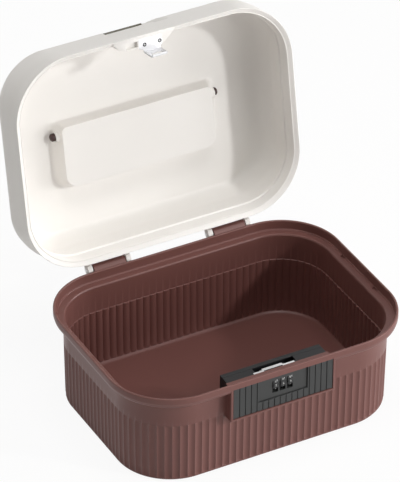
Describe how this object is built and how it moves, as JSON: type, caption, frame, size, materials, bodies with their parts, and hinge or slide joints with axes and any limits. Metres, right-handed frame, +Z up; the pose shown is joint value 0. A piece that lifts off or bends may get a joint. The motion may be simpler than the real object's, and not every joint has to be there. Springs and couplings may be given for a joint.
{
  "type": "lock box",
  "caption": "Ribbed box with a deep hinged lid, a fold-flat carry handle and a combination lock behind a press plate in the front.",
  "frame": {"origin": "centre of the base face", "axes": "+X to the right, +Y to the back, +Z up; the lock is at -Y"},
  "size_m": [0.3, 0.317, 0.3228],
  "materials": {
    "tub": "satin",
    "lid": "satin",
    "handle": "satin",
    "plate": "matte",
    "case": "matte",
    "dials": "gloss",
    "steel": "brushed",
    "lever": "matte"
  },
  "bodies": {
    "tub": {"tub_shell": "tub", "lock_case": "case", "dial_panel": "plate", "dial_shaft": "steel", "detent_spring": "steel", "inner_cover": "case", "cover_screws": "steel"},
    "lid": {"lid_shell": "lid", "hinge_pin_left": "steel", "hinge_pin_right": "steel", "handle_pin_left": "handle", "handle_pin_right": "handle", "striker": "steel", "striker_screws": "steel"},
    "handle": {"handle": "handle"},
    "dial_1": {"dial_1": "dials", "cam_1": "steel"},
    "dial_2": {"dial_2": "dials", "cam_2": "steel"},
    "dial_3": {"dial_3": "dials", "cam_3": "steel"},
    "press": {"press_plate": "plate", "latch_frame": "steel", "latch_clips": "steel"},
    "reset": {"reset_lever": "lever"}
  },
  "joints": [
    {"name": "lid_hinge", "type": "hinge", "parent": "tub", "child": "lid", "pos_m": [0, 0.1159, 0.1017], "axis": [1, 0, 0], "range_deg": [0, 100.5]},
    {"name": "handle_hinge", "type": "hinge", "parent": "lid", "child": "handle", "pos_m": [0, 0.18601, 0.21166], "axis": [1, 0, 0], "range_deg": [0, 95]},
    {"name": "dial_1_turn", "type": "hinge", "parent": "tub", "child": "dial_1", "pos_m": [-0.0077, -0.1031, 0.0856], "axis": [1, 0, 0], "continuous": true},
    {"name": "dial_2_turn", "type": "hinge", "parent": "tub", "child": "dial_2", "pos_m": [0, -0.1031, 0.0856], "axis": [1, 0, 0], "continuous": true},
    {"name": "dial_3_turn", "type": "hinge", "parent": "tub", "child": "dial_3", "pos_m": [0.0077, -0.1031, 0.0856], "axis": [1, 0, 0], "continuous": true},
    {"name": "press_slide", "type": "slide", "parent": "tub", "child": "press", "axis": [0, 1, 0], "range_m": [0, 0.002], "stiffness_N_per_m": 600, "springref_m": -0.003},
    {"name": "reset_slide", "type": "slide", "parent": "tub", "child": "reset", "axis": [1, 0, 0], "range_m": [0, 0.004]}
  ]
}
